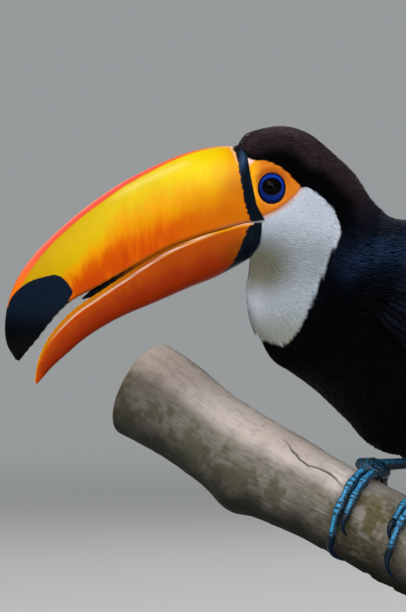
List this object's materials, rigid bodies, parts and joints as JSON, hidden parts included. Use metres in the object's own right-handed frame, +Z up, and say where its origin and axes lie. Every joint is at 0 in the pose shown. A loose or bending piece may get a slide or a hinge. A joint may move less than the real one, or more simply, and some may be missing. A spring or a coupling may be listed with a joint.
{
  "type": "toco toucan model",
  "caption": "Life-size still model of a toco toucan with a large orange bill, perched on a cut branch held by rods over a round base.",
  "frame": {"origin": "centre of the underside of the round stand base", "axes": "+Z up; the bird's head looks along -X; +Y is the head's right side"},
  "size_m": [0.4928, 0.282, 0.3723],
  "materials": {
    "bill_orange": "satin horn, yellow-orange",
    "bill_deep_orange": "satin horn, deep orange",
    "crown_plumage": "short brown-black feathers",
    "black_plumage": "blue-black feathers",
    "eye": "glossy dark brown eye",
    "toe_blue": "scaly blue skin",
    "claw_black": "black horn",
    "bark": "weathered grey-brown branch",
    "stand_steel": "satin steel rod",
    "stand_wood": "dark varnished wood"
  },
  "bodies": {
    "root": {"upper_bill": "bill_orange", "lower_bill": "bill_deep_orange", "head": "crown_plumage", "eye_left": "eye", "eye_right": "eye", "neck": "black_plumage", "trunk": "black_plumage", "wing_left": "black_plumage", "wing_right": "black_plumage", "tail": "black_plumage", "thigh_left": "black_plumage", "thigh_right": "black_plumage", "tarsus_left": "toe_blue", "tarsus_right": "toe_blue", "foot_left": "toe_blue", "foot_right": "toe_blue", "claw_left_outer_front": "claw_black", "claw_left_inner_front": "claw_black", "claw_left_outer_rear": "claw_black", "claw_left_inner_rear": "claw_black", "claw_right_outer_front": "claw_black", "claw_right_inner_front": "claw_black", "claw_right_outer_rear": "claw_black", "claw_right_inner_rear": "claw_black", "perch": "bark", "stand_rod_front": "stand_steel", "stand_rod_rear": "stand_steel", "stand_base": "stand_wood"}
  },
  "joints": []
}
